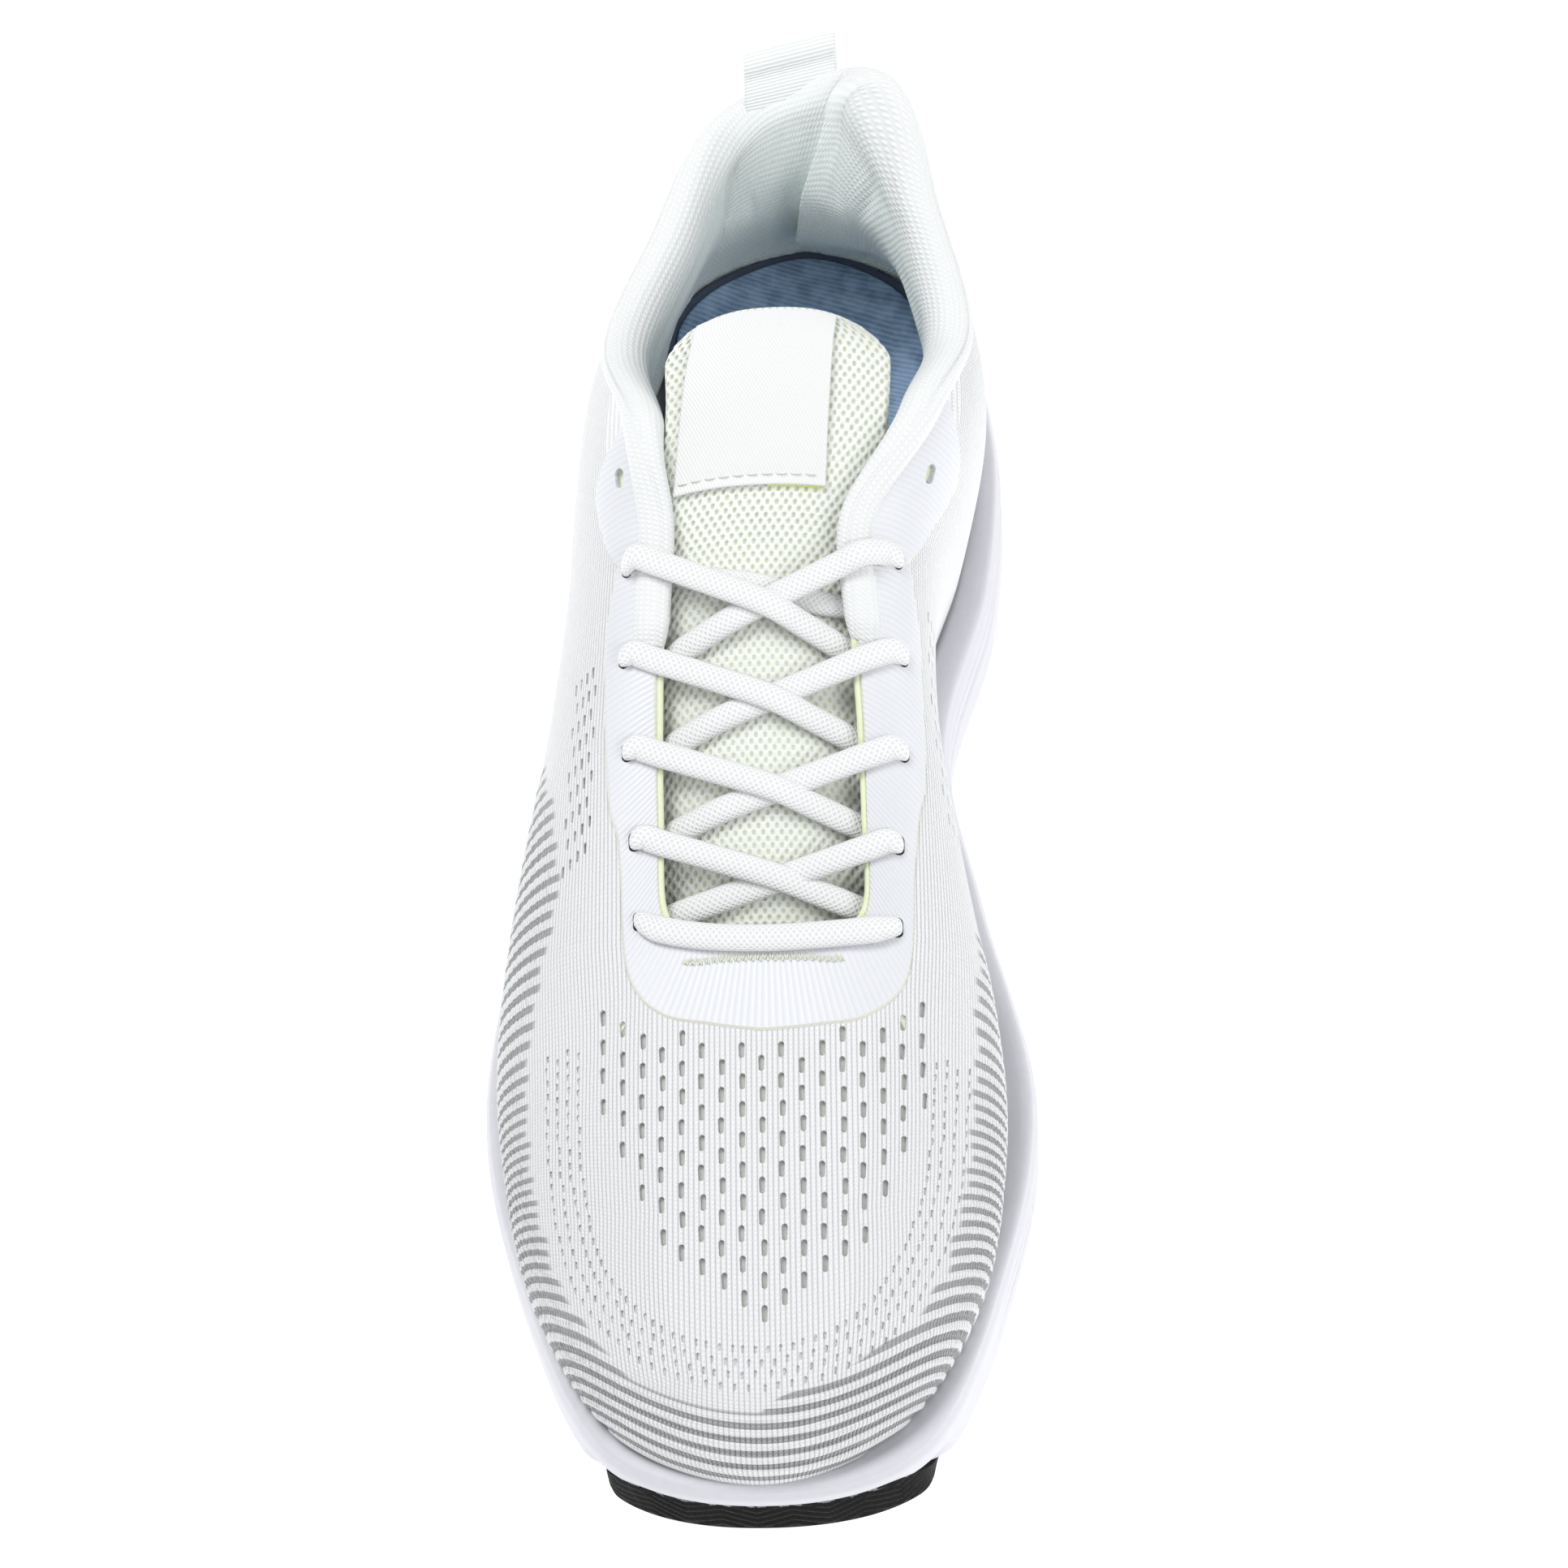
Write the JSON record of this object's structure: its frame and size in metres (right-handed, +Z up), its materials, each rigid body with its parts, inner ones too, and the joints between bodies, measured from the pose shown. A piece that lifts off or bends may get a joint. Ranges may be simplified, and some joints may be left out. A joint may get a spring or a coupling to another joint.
{
  "type": "running shoe",
  "caption": "Right-foot laced running shoe: knitted upper, padded collar and tongue, foam midsole and rubber outsole, bending at the ball of the foot.",
  "frame": {"origin": "middle of the bounding box at ground level, under the arch", "axes": "toe towards -Y, heel towards +Y, medial (inner) side +X, +Z up; the tread rests on z = 0"},
  "size_m": [0.1145, 0.2965, 0.1157],
  "materials": {
    "outsole_rubber": "fine matt grain, chevron texture at the toe",
    "midsole_foam": "satin moulded foam skin with fine side grooves",
    "strobel_fleece": "stitched non-woven board",
    "sockliner_foam": "soft matt foam",
    "sockliner_twill": "heathered blue twill",
    "knit": "engineered knit with punched slots and grey striped edge",
    "stiffener": "moulded stiffener sheet",
    "lining": "grey backing mesh",
    "padding_foam": "open-cell foam",
    "collar_mesh": "pale mint dotted mesh",
    "film": "satin ribbed heat-bonded film with a cream edge",
    "backing_tape": "woven reinforcing tape",
    "spacer_mesh": "pale lime spacer mesh with oval cells",
    "woven_label": "satin woven patch, blank",
    "lace_braid": "flat oval braid",
    "aglet_plastic": "clear white film",
    "webbing": "finely ribbed woven tape"
  },
  "bodies": {
    "shoe": {"outsole_heel": "outsole_rubber", "outsole_forefoot_rear": "outsole_rubber", "midsole_rear": "midsole_foam", "strobel_board_rear": "strobel_fleece", "sockliner_rear": "sockliner_foam", "sockliner_cover_rear": "sockliner_twill", "knit_upper_rear": "knit", "heel_counter": "stiffener", "vamp_lining_rear": "lining", "collar_foam": "padding_foam", "tongue_foam": "padding_foam", "collar_lining": "collar_mesh", "eyestay_overlay": "film", "upper_eyelet_overlay_lateral": "film", "upper_eyelet_overlay_medial": "film", "eyestay_backing_lateral": "backing_tape", "eyestay_backing_medial": "backing_tape", "tongue_mesh": "spacer_mesh", "tongue_lining": "spacer_mesh", "lace": "lace_braid", "aglet_lateral": "aglet_plastic", "aglet_medial": "aglet_plastic", "heel_tab_anchor": "webbing"},
    "toe": {"outsole_forefoot_toe": "outsole_rubber", "midsole_toe": "midsole_foam", "strobel_board_toe": "strobel_fleece", "sockliner_toe": "sockliner_foam", "sockliner_cover_toe": "sockliner_twill", "knit_upper_toe": "knit", "vamp_lining_toe": "lining", "toe_puff": "stiffener"},
    "tongue_flap": {"tongue_flap_mesh": "spacer_mesh", "tongue_flap_foam": "padding_foam", "tongue_flap_lining": "spacer_mesh", "tongue_label": "woven_label"},
    "heel_tab": {"heel_tab_loop": "webbing"}
  },
  "joints": [
    {"name": "toe_flex", "type": "hinge", "parent": "shoe", "child": "toe", "pos_m": [0, -0.062, 0.012], "axis": [-1, 0, 0], "range_deg": [0, 30], "stiffness_Nm_per_rad": 2},
    {"name": "tongue_flap", "type": "hinge", "parent": "shoe", "child": "tongue_flap", "pos_m": [0.0033, 0.0326, 0.0897], "axis": [1, 0, 0], "range_deg": [-5, 35], "stiffness_Nm_per_rad": 0.3},
    {"name": "heel_tab", "type": "hinge", "parent": "shoe", "child": "heel_tab", "pos_m": [0.011, 0.1435, 0.1056], "axis": [-1, 0, 0], "range_deg": [-20, 40], "stiffness_Nm_per_rad": 0.02}
  ]
}
